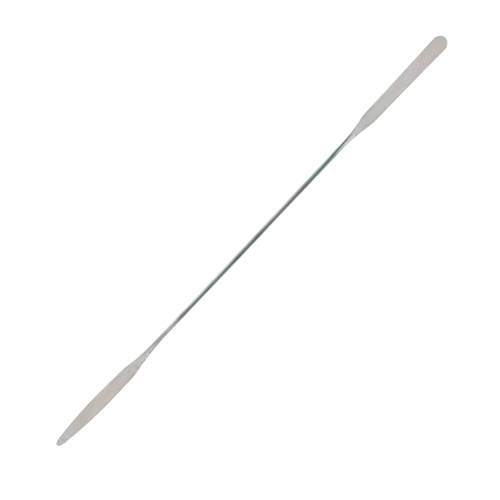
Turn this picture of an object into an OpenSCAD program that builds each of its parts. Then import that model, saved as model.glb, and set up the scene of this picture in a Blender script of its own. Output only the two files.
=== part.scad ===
// Double-ended micro spatula, forged from one length of round wire.
// The shank lies along X, with the round blade at +X and the pointed blade at -X.
// X = 0 is midway between the two ends, and Z = 0 is the bench that both blades lie on.

/* [Overall] */
// Length from end to end
overall_len = 203.2; // [160:0.1:260]
// Diameter of the round shank
shank_d = 1.7; // [1.2:0.1:2.4]
// Thickness of both flats
flat_t = 0.45; // [0.3:0.05:1]

/* [Round blade] */
// Length of the neck, from the round shank to the shoulder
round_neck_len = 16; // [8:0.5:20]
// How late the neck flares: 1 is a straight taper, 3 flares close to the shoulder
round_neck_flare = 2.8; // [1:0.1:3]
// Length of the flat, from the shoulder to the round end
round_flat_len = 41; // [25:0.5:50]
// Width at the shoulder
round_shoulder_w = 4.7; // [3:0.1:8]
// How much of the corner at the shoulder is rounded off
round_shoulder_soft = 0.6; // [0.1:0.1:1]
// Greatest width, near the round end
round_widest_w = 5.7; // [4:0.1:10]
// How late the flat widens: 1 widens evenly, 3 widens close to the end
round_swell = 1.6; // [1:0.1:3]
// Length of the half ellipse that ends the blade
round_end_len = 3.4; // [2:0.1:10]

/* [Pointed blade] */
// Length of the neck, from the round shank to the shoulder
point_neck_len = 17; // [10:0.5:22]
// How late the neck flares: 1 is a straight taper, 3 flares close to the shoulder
point_neck_flare = 2.4; // [1:0.1:3]
// Length of the flat along the metal, from the shoulder to the tip
point_flat_len = 37.9; // [30:0.1:50]
// Width at the shoulder
point_shoulder_w = 4.6; // [3:0.1:8]
// How much of the corner at the shoulder is rounded off
point_shoulder_soft = 0.2; // [0.1:0.1:1]
// Greatest width
point_widest_w = 5.2; // [4:0.1:10]
// Distance from the shoulder to the greatest width
point_widest_at = 13.5; // [8:0.5:20]
// Width that the taper runs down to, before the tip is rounded
point_tip_w = 2; // [1:0.1:3]
// Length of the half ellipse that ends the tip
point_nose_len = 1.8; // [0.6:0.1:2.8]
// Lean of the blade in degrees, to the right as seen from above with the tip ahead
point_lean = 1.1; // [-3:0.1:3]

/* [Bent tip] */
// Length of metal beyond the start of the bend
bend_to_tip = 3.2; // [3:0.1:8]
// Angle that the tip is bent up
bend_angle = 45; // [0:5:60]
// Radius of the underside of the bend
bend_r = 1.5; // [1.2:0.1:4]

/* [Hidden] */

// Facets around every section: a multiple of 4, so that the top, underside and edges are flat
SIDES = 24;
// Sections along each stretch
NECK_STEPS = 16;
FLAT_STEPS = 14;
BEND_STEPS = 6;
END_STEPS = 10;

// Each neck closes around the wire's end with this much to spare, and the wire runs this far in
neck_proud = 0.01;
wire_in_neck = 0.3;
neck_r = shank_d / 2 + neck_proud;
// Half size of the last section of each blade, where its edges run together
end_r = 0.03;

round_widest_at = round_flat_len - round_end_len;
round_len = round_neck_len + round_flat_len;
point_len = point_neck_len + point_flat_len;
bend_at = point_len - bend_to_tip;

shank_to = overall_len / 2 - round_len;
shank_from = point_reach() - overall_len / 2;

function clamp(u) = min(max(u, 0), 1);
function ease(u) = u * u * (3 - 2 * u);
function soft_min(a, b, soft) = min(a, b) - pow(max(soft - abs(a - b), 0), 2) / (4 * soft);
function steps(from, to, count) = [for (i = [0:count - 1]) from + (to - from) * i / count];

// Share of full size at a distance from an end that is rounded over len: a quarter ellipse
function rounding(from_end, len) = sqrt(1 - pow(1 - clamp(from_end / len), 2));

// Stations through such an end, closer together where it curves more
function end_stations(end, len) =
    [for (i = [0:END_STEPS]) end - len * (1 - sin(90 * i / END_STEPS))];

// Half width of a neck at s from the shank. It keeps rising past the shoulder, where the flat
// takes over.
function flare(s, neck_len, shoulder_w, power) =
    neck_r + (shoulder_w / 2 - neck_r) * pow(s / neck_len, power);

// Half thickness at s from the shank: the wire is pressed flat along the neck
function pressed(s, neck_len) = neck_r + (flat_t / 2 - neck_r) * ease(clamp(s / neck_len));

// Half width of the round blade and its neck at s from the shank
function round_half_w(s) =
    let (
        swell = pow(clamp((s - round_neck_len) / round_widest_at), round_swell),
        flat = (round_shoulder_w + (round_widest_w - round_shoulder_w) * swell) / 2,
        neck = flare(s, round_neck_len, round_shoulder_w, round_neck_flare)
    )
    soft_min(neck, flat, round_shoulder_soft) * rounding(round_len - s, round_end_len);

// Half width of the pointed blade and its neck at s from the shank
function point_half_w(s) =
    let (
        beyond = s - point_neck_len,
        swell = clamp(beyond / point_widest_at),
        taper = clamp((beyond - point_widest_at) / (point_flat_len - point_widest_at)),
        full = point_shoulder_w + (point_widest_w - point_shoulder_w) * swell,
        flat = (full - (point_widest_w - point_tip_w) * pow(taper, 2)) / 2,
        neck = flare(s, point_neck_len, point_shoulder_w, point_neck_flare)
    )
    soft_min(neck, flat, point_shoulder_soft) * rounding(point_len - s, point_nose_len);

// Sideways place of the pointed blade's middle line: it leans about its widest part
function point_side(s) =
    -tan(point_lean) * (s - point_neck_len - point_widest_at) * ease(clamp(s / point_neck_len));

// Where the underside of the pointed end runs at s from the shank: [along, up, tilt]
function point_underside(s) =
    let (
        tilt = min(max(s - bend_at, 0) / bend_r * 180 / PI, bend_angle),
        beyond = max(s - bend_at - bend_r * tilt * PI / 180, 0)
    )
    [
        min(s, bend_at) + bend_r * sin(tilt) + beyond * cos(tilt),
        bend_r * (1 - cos(tilt)) + beyond * sin(tilt),
        tilt
    ];

// How far the pointed end reaches from the shank, with its tip bent up and its edge rounded
function point_reach() =
    point_underside(point_len).x - flat_t / 2 * (cos(bend_angle) + sin(bend_angle) - 1);

// One section of the metal: a strip with full-round edges, as flattened wire has, so it is round
// where it is as thick as it is wide. It stands on underside, which is [along, up, tilt].
// half_t is its half thickness, which falls away where the blade's end is nearer than that.
function section(underside, side, half_w, half_t, from_end) = [
    for (k = [0:SIDES - 1])
        let (
            turn = (k + 0.5) * 360 / SIDES,
            edge_r = max(half_t * rounding(from_end, half_t), end_r),
            corner_r = edge_r / cos(180 / SIDES),
            edge_at = max(half_w - edge_r, 0) * sign(cos(turn)),
            up = half_t + corner_r * sin(turn)
        )
        [
            underside.x - up * sin(underside.z),
            side + edge_at + corner_r * cos(turn),
            underside.y + up * cos(underside.z)
        ]
];

// A solid through a row of sections
module loft(sections) {
    last = len(sections) - 1;
    polyhedron(
        points = [for (ring = sections) each ring],
        faces = concat(
            [[for (k = [0:SIDES - 1]) k]],
            [
                for (i = [0:last - 1], k = [0:SIDES - 1])
                    let (a = i * SIDES, b = a + SIDES, next = (k + 1) % SIDES)
                    [a + k, b + k, b + next, a + next]
            ],
            [[for (k = [SIDES - 1:-1:0]) last * SIDES + k]]
        )
    );
}

module shank() {
    color([0.66, 0.67, 0.67])
        translate([shank_from - wire_in_neck, 0, neck_r])
            rotate([0, 90, 0])
                cylinder(d = shank_d, h = shank_to - shank_from + 2 * wire_in_neck, $fn = 96);
}

module round_blade() {
    stations = concat(
        steps(0, round_neck_len, NECK_STEPS),
        steps(round_neck_len, round_len - round_end_len, FLAT_STEPS),
        end_stations(round_len, round_end_len)
    );
    color([0.75, 0.75, 0.73])
        translate([shank_to, 0, 0])
            loft([
                for (s = stations)
                    section([s, 0, 0], 0, round_half_w(s), pressed(s, round_neck_len), round_len - s)
            ]);
}

module pointed_blade() {
    stations = concat(
        steps(0, point_neck_len, NECK_STEPS),
        steps(point_neck_len, bend_at, FLAT_STEPS),
        steps(bend_at, point_len - point_nose_len, BEND_STEPS),
        end_stations(point_len, point_nose_len)
    );
    color([0.74, 0.73, 0.71])
        translate([shank_from, 0, 0])
            rotate([0, 0, 180])
                loft([
                    for (s = stations)
                        section(
                            point_underside(s), point_side(s), point_half_w(s),
                            pressed(s, point_neck_len), point_len - s
                        )
                ]);
}

module spatula() {
    shank();
    round_blade();
    pointed_blade();
}

spatula();
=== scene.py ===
import math

import bpy
import numpy as np
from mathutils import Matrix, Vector


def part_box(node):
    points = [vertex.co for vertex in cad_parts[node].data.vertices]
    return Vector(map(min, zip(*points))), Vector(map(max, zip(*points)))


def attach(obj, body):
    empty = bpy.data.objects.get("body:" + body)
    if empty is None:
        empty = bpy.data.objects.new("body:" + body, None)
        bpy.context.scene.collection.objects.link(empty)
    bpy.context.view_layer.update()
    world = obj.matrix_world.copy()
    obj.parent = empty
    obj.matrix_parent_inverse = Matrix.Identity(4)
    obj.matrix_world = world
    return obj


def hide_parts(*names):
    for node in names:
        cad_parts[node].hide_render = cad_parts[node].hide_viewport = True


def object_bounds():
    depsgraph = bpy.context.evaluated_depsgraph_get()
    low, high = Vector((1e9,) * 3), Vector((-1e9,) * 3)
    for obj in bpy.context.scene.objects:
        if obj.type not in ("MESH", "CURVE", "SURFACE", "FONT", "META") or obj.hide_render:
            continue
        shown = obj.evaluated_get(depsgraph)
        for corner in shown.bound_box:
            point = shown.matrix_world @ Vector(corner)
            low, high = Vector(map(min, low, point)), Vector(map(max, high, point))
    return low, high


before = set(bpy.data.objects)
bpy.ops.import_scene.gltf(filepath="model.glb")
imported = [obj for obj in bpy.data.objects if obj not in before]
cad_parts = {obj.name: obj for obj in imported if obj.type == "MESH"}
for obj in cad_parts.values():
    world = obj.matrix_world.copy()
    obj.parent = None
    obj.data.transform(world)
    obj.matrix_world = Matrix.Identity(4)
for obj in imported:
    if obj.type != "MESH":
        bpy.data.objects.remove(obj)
cad_low, cad_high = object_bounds()

MM = 0.001

# ---------------------------------------------------------------- the metal's form, in mm
# The same laws as the CAD solid, drawn with many more sections. A blade's s is counted along its
# metal from the end of the round shank.
SHANK_R = 0.85
FLAT_T = 0.45

ROUND = dict(neck=16.0, flare=2.8, flat=41.0, shoulder=4.7, soft=0.6, widest=5.7, swell=1.6,
             end=3.4)
POINT = dict(neck=17.0, flare=2.4, flat=37.9, shoulder=4.6, soft=0.2, widest=5.2,
             widest_at=13.5, tip=2.0, nose=1.8, lean=math.radians(1.1))
BEND = dict(to_tip=3.2, angle=math.radians(45), r=1.5)
NECK_PROUD = 0.01
END_R = 0.03

ROUND_LEN = ROUND["neck"] + ROUND["flat"]
POINT_LEN = POINT["neck"] + POINT["flat"]
NECK_R = SHANK_R + NECK_PROUD

# How finely the skin is drawn
POINTS_ROUND = 96      # points round each section
BY_DISTANCE = 0.35     # share of them that is spread by distance, the rest by turning
SHANK_STEP = 0.5       # between sections of the shank
NECK_STEP = 0.25       # of the necks
FLAT_STEP = 0.3        # of the flats
BEND_STEP = 0.1        # of the bent tip
END_STEPS = 32         # over each blade's rounded end
STRIP_GAP = 0.35       # between strips of the flat layout


def clamp(u):
    return np.clip(u, 0.0, 1.0)


def ease(u):
    return u * u * (3 - 2 * u)


def smooth(value, start, stop):
    return ease(clamp((value - start) / (stop - start)))


def between(value, rise, fall):
    """1 between two soft steps, each given by where it starts and stops."""
    return smooth(value, *rise) * smooth(-value, -fall[1], -fall[0])


def bell(distance, reach):
    return np.exp(-(distance / reach) ** 2)


def soft_min(a, b, soft):
    return np.minimum(a, b) - np.maximum(soft - np.abs(a - b), 0) ** 2 / (4 * soft)


def rounding(from_end, length):
    """Share of full size at a distance from an end that is rounded over length."""
    return np.sqrt(1 - (1 - clamp(from_end / length)) ** 2)


def flare(s, blade):
    """Half width of a neck. It keeps rising past the shoulder, where the flat takes over."""
    rise = np.maximum(s / blade["neck"], 0) ** blade["flare"]
    return NECK_R + (blade["shoulder"] / 2 - NECK_R) * rise


def half_thickness(s, blade):
    """The wire is pressed flat along the neck."""
    return NECK_R + (FLAT_T / 2 - NECK_R) * ease(clamp(s / blade["neck"]))


def round_half_width(s):
    swell = clamp((s - ROUND["neck"]) / (ROUND["flat"] - ROUND["end"])) ** ROUND["swell"]
    flat = (ROUND["shoulder"] + (ROUND["widest"] - ROUND["shoulder"]) * swell) / 2
    return soft_min(flare(s, ROUND), flat, ROUND["soft"]) * rounding(ROUND_LEN - s, ROUND["end"])


def point_half_width(s):
    beyond = s - POINT["neck"]
    swell = clamp(beyond / POINT["widest_at"])
    taper = clamp((beyond - POINT["widest_at"]) / (POINT["flat"] - POINT["widest_at"]))
    full = POINT["shoulder"] + (POINT["widest"] - POINT["shoulder"]) * swell
    flat = (full - (POINT["widest"] - POINT["tip"]) * taper ** 2) / 2
    return soft_min(flare(s, POINT), flat, POINT["soft"]) * rounding(POINT_LEN - s, POINT["nose"])


def point_side(s):
    """Sideways place of the pointed blade's middle line, which leans about its widest part."""
    from_widest = s - POINT["neck"] - POINT["widest_at"]
    return -math.tan(POINT["lean"]) * from_widest * ease(clamp(s / POINT["neck"]))


def point_underside(s):
    """Along, up and tilt of the underside at s."""
    start = POINT_LEN - BEND["to_tip"]
    tilt = np.clip((s - start) / BEND["r"], 0, BEND["angle"])
    beyond = np.maximum(s - start - BEND["r"] * tilt, 0)
    along = np.minimum(s, start) + BEND["r"] * np.sin(tilt) + beyond * np.cos(tilt)
    up = BEND["r"] * (1 - np.cos(tilt)) + beyond * np.sin(tilt)
    return along, up, tilt


def outline(flat_half, r, number):
    """Points round a strip with full-round edges, spread by a mix of distance and turning."""
    round_it = 2 * math.pi * r
    perimeter = 4 * flat_half + round_it
    # each leg's share of a full turn, and its straight run, which may be nothing
    legs = [(0.25, 0), (0, 2 * flat_half), (0.5, 0), (0, 2 * flat_half), (0.25, 0)]
    sizes = [BY_DISTANCE * (turn * round_it + run) / perimeter + (1 - BY_DISTANCE) * turn
             for turn, run in legs]
    ends = np.cumsum([0] + sizes)

    def on_edge(middle, turn):
        return middle + r * math.cos(turn), r * math.sin(turn)

    found = []
    for k in range(number):
        at = k / number
        leg = min(int(np.searchsorted(ends, at, side="right")) - 1, 4)
        u = (at - ends[leg]) / max(sizes[leg], 1e-12)
        if leg == 0:
            found.append(on_edge(flat_half, u * math.pi / 2))
        elif leg == 1:
            found.append((flat_half * (1 - 2 * u), r))
        elif leg == 2:
            found.append(on_edge(-flat_half, math.pi / 2 + u * math.pi))
        elif leg == 3:
            found.append((-flat_half * (1 - 2 * u), -r))
        else:
            found.append(on_edge(flat_half, 1.5 * math.pi + u * math.pi / 2))
    return np.array(found)


def ring(along, up, tilt, side, half_w, half_t, from_end):
    """One section of the metal, standing on its underside's along, up and tilt."""
    r = max(half_t * float(rounding(from_end, half_t)), END_R)
    yz = outline(max(half_w - r, 0.0), r, POINTS_ROUND)
    rise = half_t + yz[:, 1]
    return np.stack([along - rise * math.sin(tilt), side + yz[:, 0], up + rise * math.cos(tilt)], 1)


def spread(start, stop, step):
    """Stations from start up to stop, which isn't one of them, no further apart than step."""
    number = max(1, math.ceil((stop - start) / step))
    return start + (stop - start) * np.arange(number) / number


def end_spread(stop, length):
    """Stations over a rounded end, closer together where it curves more."""
    return stop - length * (1 - np.sin(np.linspace(0, math.pi / 2, END_STEPS + 1)))


# Where the stretches meet, from the node's own box
low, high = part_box("spatula")
x_low, x_high = low.x / MM, high.x / MM
reach = float(point_underside(np.array(POINT_LEN))[0]) - FLAT_T / 2 * (
    math.cos(BEND["angle"]) + math.sin(BEND["angle"]) - 1)
shank_from, shank_to = x_low + reach, x_high - ROUND_LEN
point_shoulder, round_shoulder = shank_from - POINT["neck"], shank_to + ROUND["neck"]
bend_at = POINT_LEN - BEND["to_tip"]


def half_turned(points):
    """A section of the pointed blade, which is turned end for end, with its points in the order and
    from the start that the other sections have."""
    turned = points * (-1, -1, 1)
    return np.roll(np.roll(turned[::-1], 1, axis=0), POINTS_ROUND // 2, axis=0)


def pointed_section(s):
    along, up, tilt = (float(v) for v in point_underside(s))
    made = ring(along, up, tilt, float(point_side(s)), float(point_half_width(s)),
                float(half_thickness(s, POINT)), POINT_LEN - s)
    return half_turned(made) + (shank_from, 0, 0)


def round_section(s):
    made = ring(s, 0, 0, 0, float(round_half_width(s)), float(half_thickness(s, ROUND)),
                ROUND_LEN - s)
    return made + (shank_to, 0, 0)


def shank_section(x):
    """A section of the shank, as thick as the necks are where they meet it."""
    yz = outline(0.0, NECK_R, POINTS_ROUND)
    return np.stack([np.full(POINTS_ROUND, x), yz[:, 0], NECK_R + yz[:, 1]], 1)


point_stations = np.concatenate([
    spread(0, POINT["neck"], NECK_STEP),
    spread(POINT["neck"], bend_at, FLAT_STEP),
    spread(bend_at, POINT_LEN - POINT["nose"], BEND_STEP),
    end_spread(POINT_LEN, POINT["nose"])])
round_stations = np.concatenate([
    spread(0, ROUND["neck"], NECK_STEP),
    spread(ROUND["neck"], ROUND_LEN - ROUND["end"], FLAT_STEP),
    end_spread(ROUND_LEN, ROUND["end"])])
shank_stations = spread(shank_from, shank_to, SHANK_STEP)[1:]
rings = np.array([pointed_section(s) for s in point_stations[::-1]]
                 + [shank_section(x) for x in shank_stations]
                 + [round_section(s) for s in round_stations])
ring_count, ring_size = rings.shape[:2]
X, Y = rings[..., 0].copy(), rings[..., 1].copy()      # before the metal is bowed

# Hand-forged wire isn't quite straight: how far it bows to +Y, where, and within what reach
BOWS = [(-0.10, shank_from + 33, 26), (0.07, shank_to + 3, 8)]
for bow, bow_x, bow_reach in BOWS:
    rings[..., 1] += bow * bell(X - bow_x, bow_reach)

# One closed skin: a face for each step along and round, and a small cap at each end
sides = [(i * ring_size + k, i * ring_size + (k + 1) % ring_size)
         for i in range(ring_count - 1) for k in range(ring_size)]
faces = [tuple(range(ring_size))[::-1]]
faces += [(a, b, b + ring_size, a + ring_size) for a, b in sides]
faces.append(tuple((ring_count - 1) * ring_size + k for k in range(ring_size)))
mesh = bpy.data.meshes.new("spatula_metal")
mesh.from_pydata((rings.reshape(-1, 3) * MM).tolist(), [], faces)
mesh.update()
mesh.shade_smooth()


def vertex_normals():
    """Each vertex's normal from the faces round it by area, so that the flats stay flat."""
    corners = np.array(faces[1:-1])
    places = rings.reshape(-1, 3)[corners]
    across = np.cross(places[:, 2] - places[:, 0], places[:, 3] - places[:, 1])
    total = np.zeros((ring_count * ring_size, 3))
    for k in range(4):
        np.add.at(total, corners[:, k], across)
    return total / np.linalg.norm(total, axis=1, keepdims=True)


normals = vertex_normals()
mesh.normals_split_custom_set_from_vertices(normals.tolist())
facing_up = normals[:, 2].reshape(ring_count, ring_size)


def strip_map():
    """Lays the skin out flat in a UV map, as strips: the top and underside of each blade
    with its neck, and the shank unrolled in two lengths. The two small caps lie beside them."""
    cap_r = 0.2
    first = len(point_stations)                      # the shank's first ring
    last = first + len(shank_stations) - 1           # and its last
    middle = (first + last + 1) // 2
    centre_line = rings.mean(axis=1)
    step = np.linalg.norm(np.diff(centre_line, axis=0), axis=1)
    along = np.concatenate([[0], np.cumsum(step)])
    round_by = np.linalg.norm(np.roll(rings, -1, axis=1) - rings, axis=2)
    half, quarter = ring_size // 2, ring_size // 4
    # each strip's first and last ring, its first point round them, and its number of steps round
    strips = [(0, first, 0, half), (0, first, half, half),
              (last, ring_count - 1, 0, half), (last, ring_count - 1, half, half),
              (first, middle, ring_size - quarter, ring_size),
              (middle, last, ring_size - quarter, ring_size)]
    points = [(start + np.arange(steps)) % ring_size for _, _, start, steps in strips]
    tall = [round_by[a:b + 1][:, at].sum(axis=1).max()
            for (a, b, _, _), at in zip(strips, points)]
    wide = max(along[b] - along[a] for a, b, _, _ in strips)
    total = sum(tall) + STRIP_GAP * (len(strips) + 1)
    uv = np.zeros((len(mesh.loops), 2))
    base = STRIP_GAP
    for (a, b, _, _), at, height in zip(strips, points, tall):
        runs = round_by[a:b + 1][:, at]
        v = np.concatenate([np.zeros((b - a + 1, 1)), np.cumsum(runs, axis=1)], axis=1)
        v = base + height / 2 + v - v[:, -1:] / 2
        u = STRIP_GAP + along[a:b + 1] - along[a]
        for i in range(b - a):
            for j, k in enumerate(at):
                loop = ring_size + 4 * ((a + i) * ring_size + k)      # after the first cap's loops
                uv[loop:loop + 4] = [(u[i], v[i, j]), (u[i], v[i, j + 1]),
                                     (u[i + 1], v[i + 1, j + 1]), (u[i + 1], v[i + 1, j])]
        base += height + STRIP_GAP
    turns = np.arange(ring_size) / ring_size * 2 * math.pi
    cap = cap_r * np.stack([np.cos(turns), np.sin(turns)], 1)
    uv[:ring_size] = (wide + 2 * STRIP_GAP, total / 3) + cap[::-1]
    uv[-ring_size:] = (wide + 2 * STRIP_GAP, total * 2 / 3) + cap
    uv /= (wide + 4 * STRIP_GAP, total)
    mesh.uv_layers.new(name="OFBake").uv.foreach_set("vector", uv.astype(np.float32).ravel())


strip_map()

# ---------------------------------------------------------------- finish, in mm
# The satin of a blade replaces the drawn finish of the wire over this stretch, counted from the
# end of the shank towards the blade, and its border slants by so much along for each mm across
SATIN_ROUND = (-16.6, 7.4)
SLANT_ROUND = 9.0
SATIN_POINT = (-21.0, 10.0)
SLANT_POINT = 4.0

# A dark streak of painted shade with a teal oxide tint crosses the end of the shank to one flank
# of the round neck. It drifts to +Y in two steps: by so much, from and to.
STREAK = 0.86
STREAK_WIDE = 0.3
STREAK_Y = 0.06
STREAK_DRIFTS = [(0.3, -5, 0.5), (0.16, 0.5, 10)]
STREAK_RISE = (-16, -3)
STREAK_FALL = (4, 12)

# A painted sheen lightens the -Y flank there, and again on the wire where the pointed neck starts
PAINTED_SHEEN = 0.8
PAINTED_SHEEN_WIDE = 0.3
PAINTED_SHEEN_Y = -0.6
PAINTED_SHEEN_RISE = (-3.5, 3)
PAINTED_SHEEN_FALL = (4, 9)
POINT_PAINTED_SHEEN = 0.7
POINT_PAINTED_SHEEN_SPOT = (shank_from + 2.5, -0.45, 4.0, 0.35)      # x, y, reach along and across

# How far up the metal faces where these start and where they are whole: the streak and the painted
# sheen, a spot, and the line inside the edges
UPPER_SIDE = (-0.3, 0.2)
UPPER_SPOT = (-0.2, 0.3)
FLAT_TOP = (0.3, 0.9)

# A soft line of painted shade just inside the -Y edges and the round end
EDGE_LINE = 0.8
EDGE_LINE_AT = 0.45
EDGE_LINE_WIDE = 0.3


def spot(x, y, reach_x, reach_y):
    """A soft mark on the upper side, at x and y."""
    return (np.exp(-((X - x) / reach_x) ** 2 - ((Y - y) / reach_y) ** 2)
            * smooth(facing_up, *UPPER_SPOT))


satin = np.maximum(smooth(X - shank_to - SLANT_ROUND * Y, *SATIN_ROUND),
                   smooth(shank_from - X - SLANT_POINT * Y, *SATIN_POINT))

along_neck = X - shank_to
streak_y = STREAK_Y + sum(drift * smooth(along_neck, *step) for drift, *step in STREAK_DRIFTS)
upper_side = smooth(facing_up, *UPPER_SIDE)
# painted shade on one flank of the round neck, with a teal oxide tint
streak = (bell(Y - streak_y, STREAK_WIDE) * between(along_neck, STREAK_RISE, STREAK_FALL)
          * upper_side)
# painted sheen on the -Y flanks
painted_sheen = (bell(Y - PAINTED_SHEEN_Y, PAINTED_SHEEN_WIDE) * between(along_neck, PAINTED_SHEEN_RISE, PAINTED_SHEEN_FALL)
           * upper_side + POINT_PAINTED_SHEEN * spot(*POINT_PAINTED_SHEEN_SPOT))

# Darker marks, most of them painted shade: strength, x, y, and reach along and across
tip_y = 0.46           # where the blade's lean puts the middle of the tip
MARKS = [
    # near each shoulder
    (0.35, round_shoulder - 1.9, -1.0, 0.45, 0.3),
    (0.25, round_shoulder - 6.7, -0.6, 0.4, 0.25),
    (0.3, point_shoulder + 3.2, -1.1, 0.5, 0.5),
    (0.1, point_shoulder + 3.2, -0.1, 0.4, 1.2),
    (0.15, point_shoulder - 0.2, -0.15, 0.5, 0.35),
    # painted shade along the pointed neck, on a flank of the last third of the wire, and where the
    # wire starts
    (0.16, point_shoulder + 9.0, 0.25, 4.5, 0.35),
    (0.30, shank_to - 12.0, 0.8, 14.0, 0.35),
    (0.12, shank_from - 0.5, 0.1, 5.0, 0.4),
    # painted shade across the bend, and two spots of it on the bent tip
    (0.08, x_low + 0.75 * BEND["to_tip"], 0, 0.8, 1.6),
    (0.20, x_low + 1.5, tip_y + 0.4, 0.5, 0.5),
    (0.10, x_low + 2.5, tip_y - 0.5, 0.5, 0.5),
]
marks = sum(strength * spot(*place) for strength, *place in MARKS)

# The drawn wire is darker in a few places, right round it: strength, x and reach
DARKER_BANDS = [
    (0.20, shank_from + 10.5, 2.0), (0.10, shank_from + 25.0, 3.0), (0.20, shank_from + 40.0, 2.5),
    (0.24, shank_to - 41.5, 2.8), (0.12, shank_to - 17.0, 4.0), (0.18, shank_to - 1.5, 1.5),
]
darker_bands = sum(strength * bell(X - x, band_reach) for strength, x, band_reach in DARKER_BANDS)

# The edges themselves are painted darker too, as shade
from_edge = np.minimum(Y - Y.min(axis=1, keepdims=True), x_high - X)
edge_line = bell(from_edge - EDGE_LINE_AT, EDGE_LINE_WIDE) * smooth(facing_up, *FLAT_TOP)
rim = satin * np.clip(1 - np.abs(facing_up) + EDGE_LINE * edge_line, 0, 1)

# Attributes for the shader: satin, painted shade with a teal oxide tint, a painted sheen, painted
# shade at the edges, and darker bands round the wire
for name, values in (("satin", satin), ("oxide_and_painted_shade", np.clip(STREAK * streak + marks, 0, 1)),
                     ("painted_sheen", PAINTED_SHEEN * painted_sheen), ("rim", rim), ("darker_bands", darker_bands)):
    mesh.attributes.new(name, "FLOAT", "POINT").data.foreach_set(
        "value", values.astype(np.float32).ravel())

metal = bpy.data.objects.new("spatula_metal", mesh)
bpy.context.scene.collection.objects.link(metal)
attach(metal, "root")
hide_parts("spatula")


# ---------------------------------------------------------------- the steel
class Nodes:
    """Adds nodes to a tree, each with its inputs set or linked in the same call."""

    def __init__(self, tree):
        self.tree = tree

    def add(self, kind, inputs=None, **settings):
        node = self.tree.nodes.new(kind)
        for name, value in settings.items():
            setattr(node, name, value)
        for name, value in (inputs or {}).items():
            self.put(node.inputs[name], value)
        return node

    def put(self, socket, value):
        if isinstance(value, bpy.types.NodeSocket):
            self.tree.links.new(value, socket)
        else:
            socket.default_value = value

    def math(self, operation, *values):
        return self.add("ShaderNodeMath", dict(enumerate(values)), operation=operation).outputs[0]

    def remap(self, value, from_low, from_high, to_low=0.0, to_high=1.0):
        return self.add("ShaderNodeMapRange", {
            0: value, "From Min": from_low, "From Max": from_high, "To Min": to_low,
            "To Max": to_high}).outputs[0]

    def ramp(self, value, stops, interpolation="LINEAR"):
        node = self.add("ShaderNodeValToRGB", {0: value})
        elements = node.color_ramp.elements
        node.color_ramp.interpolation = interpolation
        while len(elements) > 1:
            elements.remove(elements[-1])
        for i, (at, colour) in enumerate(stops):
            element = elements[0] if i == 0 else elements.new(at)
            element.position = at
            element.color = (*colour, 1) if hasattr(colour, "__len__") else (colour,) * 3 + (1,)
        return node.outputs["Color"]

    def mix(self, share, a, b, blend="MIX"):
        def rgba(v):
            return v if isinstance(v, bpy.types.NodeSocket) else (*v, 1)
        return self.add("ShaderNodeMix", {0: share, 6: rgba(a), 7: rgba(b)}, data_type="RGBA",
                        blend_type=blend).outputs[2]

    def noise(self, place, scale, **inputs):
        """Noise with scale per metre along each axis."""
        at = self.add("ShaderNodeMapping", {"Vector": place, "Scale": scale}).outputs[0]
        return self.add("ShaderNodeTexNoise", {"Vector": at, "Scale": 1.0, **inputs}).outputs[0]


BLADE_ROUGH = 0.5
WIRE_ROUGH = 0.16

# Scales of the noises per metre along X, Y and Z, and the range that a noise mostly stays in
BLOTCH = (140, 420, 420)
GRAIN = (260, 9000, 9000)
PORES = (5200, 5200, 5200)
SCRATCHES = (420, 16000, 16000)
SCRATCH_TURN = 0.35
SCRATCH_EDGE = [(0.70, 0.0), (0.76, 1.0)]
HUES = (300, 600, 600)
HUES_MOSTLY = (0.35, 0.65)
MOSTLY = (0.3, 0.7)

# What blotches and grain do to the tone, and what they, scratches and worn edges do to roughness
UNEVEN = 0.045
ROUGH_BLOTCH = 0.04
ROUGH_GRAIN = 0.1
ROUGH_SCRATCH = -0.08
ROUGH_RIM = -0.08

# Heights of scratches and pores beside the grain's, and the bump that all three make, in metres
SCRATCH_HEIGHT = -0.5
PORE_HEIGHT = 0.35
BUMP = {"Strength": 0.3, "Distance": 0.00001}

COOLER = (0.975, 1.008, 1.004)
WARMER = (1.025, 0.992, 0.994)
# How far the edges are painted darker as shade, the tone of the painted sheen, and the tone of the
# painted shade with its teal oxide tint
RIM_SHADE = 0.93
PAINTED_SHEEN_TONE = (0.86, 0.90, 0.91)
OXIDE_AND_SHADE_TONE = (0.085, 0.125, 0.135)
BLACK = (0.0, 0.0, 0.0)

# Broad tones: stretches of the object, and colours at shares of the way along each.
# The satin is palest on the leaf, beside the pointed neck and on the first half of the round flat.
# It is warm on both blades, cool in the round neck, and dark where the pointed neck starts. The
# drawn wire is cooler, with painted light by the pointed neck and painted shade half way along
# and by the round neck.
BLADE_TONES = [
    (x_low, point_shoulder, [
        (0.06, (0.57, 0.57, 0.57)), (0.12, (0.59, 0.57, 0.55)), (0.35, (0.59, 0.55, 0.52)),
        (0.70, (0.64, 0.59, 0.55))]),
    (point_shoulder, round_shoulder, [
        (0.09, (0.55, 0.55, 0.54)), (0.12, (0.48, 0.48, 0.48)), (0.16, (0.66, 0.66, 0.66)),
        (0.90, (0.53, 0.60, 0.61)), (0.97, (0.54, 0.53, 0.52))]),
    (round_shoulder, x_high, [
        (0.20, (0.63, 0.63, 0.60)), (0.60, (0.61, 0.57, 0.56)), (0.95, (0.55, 0.52, 0.49)),
        (1.00, (0.55, 0.54, 0.54))]),
]
WIRE_TONES = [
    (shank_from, shank_to, [
        (0.08, (0.74, 0.74, 0.74)), (0.12, (0.56, 0.57, 0.58)), (0.22, (0.60, 0.66, 0.68)),
        (0.50, (0.48, 0.56, 0.57)), (0.66, (0.58, 0.59, 0.60)), (0.82, (0.52, 0.54, 0.55)),
        (0.90, (0.48, 0.60, 0.62))]),
]


def stops_along(stretches):
    """Stops of a ramp that runs from one end of the object to the other."""
    return [((start + share * (stop - start) - x_low) / (x_high - x_low), colour)
            for start, stop, rows in stretches for share, colour in rows]


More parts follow.
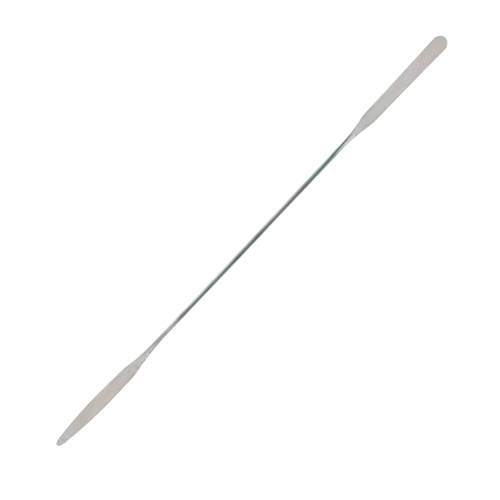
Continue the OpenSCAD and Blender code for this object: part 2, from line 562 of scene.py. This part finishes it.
def steel_material():
    material = bpy.data.materials.new("satin_steel")
    material.use_nodes = True
    steel = Nodes(material.node_tree)
    shader = material.node_tree.nodes["Principled BSDF"]
    shader.inputs["Metallic"].default_value = 1.0
    place = steel.add("ShaderNodeTexCoord").outputs["Object"]
    x_place = steel.add("ShaderNodeSeparateXYZ", {0: place}).outputs["X"]
    along_x = steel.remap(x_place, low.x, high.x)
    blade_colour = steel.ramp(along_x, stops_along(BLADE_TONES))
    # the drawn wire's tones, with painted light and shade along it
    wire_colour = steel.ramp(along_x, stops_along(WIRE_TONES))
    # The same: satin, painted shade with its oxide tint, painted shade at the edges, painted sheen
    # and darker bands
    is_satin, is_oxide_and_shade, is_rim, is_painted_sheen, is_darker_band = (
        steel.add("ShaderNodeAttribute", attribute_name=name).outputs["Fac"]
        for name in ("satin", "oxide_and_painted_shade", "rim", "painted_sheen", "darker_bands"))

    # soft unevenness of a few millimetres, fine grain along the metal, pores, and stray scratches
    blotch = steel.noise(place, BLOTCH, Detail=3.0, Roughness=0.55)
    grain = steel.noise(place, GRAIN, Detail=3.0, Roughness=0.6)
    pores = steel.noise(place, PORES, Detail=2.0, Roughness=0.6)
    turned = steel.add("ShaderNodeVectorRotate", {"Vector": place, "Angle": SCRATCH_TURN},
                       rotation_type="Z_AXIS").outputs[0]
    scratch = steel.ramp(steel.noise(turned, SCRATCHES, Detail=0.0), SCRATCH_EDGE)

    colour = steel.mix(is_satin, wire_colour, blade_colour)
    shade = steel.remap(blotch, *MOSTLY, 1 - UNEVEN, 1 + UNEVEN)
    shade = steel.math("MULTIPLY", shade, steel.remap(grain, *MOSTLY, 1 - UNEVEN, 1 + UNEVEN))
    grey = steel.add("ShaderNodeCombineColor", {0: shade, 1: shade, 2: shade}).outputs[0]
    colour = steel.mix(1.0, colour, grey, "MULTIPLY")
    hue = steel.remap(steel.noise(place, HUES, Detail=1.0), *HUES_MOSTLY)
    colour = steel.mix(1.0, colour, steel.mix(hue, COOLER, WARMER), "MULTIPLY")
    # painted shade at the edges
    colour = steel.mix(steel.math("MULTIPLY", is_rim, 1 - RIM_SHADE), colour, BLACK)
    # darker bands round the wire
    colour = steel.mix(is_darker_band, colour, BLACK)
    # painted sheen
    colour = steel.mix(is_painted_sheen, colour, PAINTED_SHEEN_TONE)
    # painted shade with a teal oxide tint
    colour = steel.mix(is_oxide_and_shade, colour, OXIDE_AND_SHADE_TONE)
    steel.put(shader.inputs["Base Color"], colour)

    rough = steel.math("MULTIPLY_ADD", is_satin, BLADE_ROUGH - WIRE_ROUGH, WIRE_ROUGH)
    rough = steel.math("ADD", rough, steel.remap(blotch, *MOSTLY, -ROUGH_BLOTCH, ROUGH_BLOTCH))
    rough = steel.math("ADD", rough, -ROUGH_GRAIN / 2)
    rough = steel.math("MULTIPLY_ADD", grain, ROUGH_GRAIN, rough)
    rough = steel.math("MULTIPLY_ADD", scratch, ROUGH_SCRATCH, rough)
    rough = steel.math("MULTIPLY_ADD", is_rim, ROUGH_RIM, rough)
    steel.put(shader.inputs["Roughness"], rough)

    height = steel.math("MULTIPLY_ADD", scratch, SCRATCH_HEIGHT, grain)
    height = steel.math("MULTIPLY_ADD", steel.math("MULTIPLY", is_satin, pores), PORE_HEIGHT,
                        height)
    bump = steel.add("ShaderNodeBump", {"Height": height, **BUMP}).outputs[0]
    steel.put(shader.inputs["Normal"], bump)
    return material


mesh.materials.append(steel_material())

# ---------------------------------------------------------------- floor, light, camera
FLOOR_HALF = 15        # half of the floor's side, in lengths of the object
FLOOR_LIT = 0.8        # its tone as it lights the object
FLOOR_SEEN = 0.42      # and where it is seen, where it also glows
FLOOR_GLOW = 0.70

# The room by direction: dim on the -Y side and bright on the +Y side, white towards both ends of
# the object, and white low down, up to a little above the horizon
SKY = [(0.0, 0.20), (0.25, 0.25), (0.5, 0.27), (0.625, 0.31), (0.75, 0.45), (0.9, 0.68),
       (1.0, 0.86)]
SIDE = [(0.30, 0.0), (0.65, 1.0)]
HORIZON = [(0.15, 1.0), (0.17, 0.0)]
WHITE = (1, 1, 1)

# Two lamps: place, width, depth and radiance
LAMP_A = (0.34, -0.20, 0.60, 0.28, 0.28, 4.2)
LAMP_B = (-0.34, -0.20, 0.60, 0.28, 0.28, 3.9)

# The camera looks straight down, as the photo's does
CAMERA_LENS = 120
SENSOR = 36
CLIP_START, CLIP_END = 0.01, 50
VIEW_W = 180.75 * MM   # width of the view at the bench
TURN = math.radians(-46.53)
AIM_LEFT = 0.7 * MM    # how far to the left of the object's centre and below it, in the view
AIM_DOWN = 3.0 * MM

def link(name, data):
    """A new object that holds data, in the scene."""
    made = bpy.data.objects.new(name, data)
    bpy.context.scene.collection.objects.link(made)
    return made


def floor_material():
    """A pale floor that lights the object as a plain one does, and is white where it is seen,
    directly or in the metal, but for the shadows on it."""
    material = bpy.data.materials.new("floor_white")
    material.use_nodes = True
    material.node_tree.nodes.clear()
    nodes = Nodes(material.node_tree)
    lit = nodes.add("ShaderNodeBsdfDiffuse", {"Color": (FLOOR_LIT,) * 3 + (1,)}).outputs[0]
    seen = nodes.add("ShaderNodeBsdfDiffuse", {"Color": (FLOOR_SEEN,) * 3 + (1,)}).outputs[0]
    glow = nodes.add("ShaderNodeEmission", {"Strength": FLOOR_GLOW}).outputs[0]
    shown = nodes.add("ShaderNodeAddShader", {0: seen, 1: glow}).outputs[0]
    ray = nodes.add("ShaderNodeLightPath").outputs
    direct = nodes.math("MAXIMUM", ray["Is Camera Ray"], ray["Is Glossy Ray"])
    direct = nodes.math("MAXIMUM", direct, ray["Is Transmission Ray"])
    mixed = nodes.add("ShaderNodeMixShader", {0: direct, 1: lit, 2: shown}).outputs[0]
    nodes.add("ShaderNodeOutputMaterial", {"Surface": mixed})
    return material


def make_floor():
    half = FLOOR_HALF * (cad_high - cad_low).x
    floor_mesh = bpy.data.meshes.new("floor")
    floor_mesh.from_pydata([(-half, -half, 0), (half, -half, 0), (half, half, 0), (-half, half, 0)],
                           [], [(0, 1, 2, 3)])
    floor = link("floor", floor_mesh)
    floor_mesh.materials.append(floor_material())


def make_room():
    world = bpy.data.worlds.new("studio")
    world.use_nodes = True
    room = Nodes(world.node_tree)
    generated = room.add("ShaderNodeTexCoord").outputs["Generated"]
    towards = room.add("ShaderNodeSeparateXYZ", {0: generated}).outputs
    sky = room.ramp(room.math("MULTIPLY_ADD", towards["Y"], 0.5, 0.5), SKY)
    sky = room.mix(room.ramp(room.math("ABSOLUTE", towards["X"]), SIDE, "EASE"), sky, WHITE)
    sky = room.mix(room.ramp(towards["Z"], HORIZON, "EASE"), sky, WHITE)
    background = world.node_tree.nodes["Background"]
    room.put(background.inputs["Color"], sky)
    background.inputs["Strength"].default_value = 1.0
    bpy.context.scene.world = world


def make_camera():
    camera_data = bpy.data.cameras.new("camera")
    camera_data.lens = CAMERA_LENS
    camera_data.sensor_width = SENSOR
    camera_data.clip_start = CLIP_START
    camera_data.clip_end = CLIP_END
    camera = link("camera", camera_data)
    centre = (cad_low + cad_high) / 2
    right = Vector((math.cos(TURN), math.sin(TURN), 0))
    upward = Vector((-math.sin(TURN), math.cos(TURN), 0))
    aim = Vector((centre.x, centre.y, 0)) - right * AIM_LEFT - upward * AIM_DOWN
    camera.location = aim + Vector((0, 0, VIEW_W * CAMERA_LENS / SENSOR))
    camera.rotation_euler = (0, 0, TURN)
    bpy.context.scene.camera = camera


def make_lamp(name, x, y, z, wide, deep, radiance):
    """A soft rectangular light that faces the origin."""
    light = bpy.data.lights.new(name, "AREA")
    light.shape = "RECTANGLE"
    light.size, light.size_y = wide, deep
    light.energy = radiance * math.pi * wide * deep
    lamp = link(name, light)
    lamp.location = (x, y, z)
    lamp.rotation_mode = "QUATERNION"
    lamp.rotation_quaternion = (-Vector((x, y, z))).to_track_quat("-Z", "Y")
    lamp.visible_camera = False


make_floor()
make_room()
make_camera()
make_lamp("lamp_a", *LAMP_A)
make_lamp("lamp_b", *LAMP_B)
bpy.context.scene.view_settings.view_transform = "Standard"
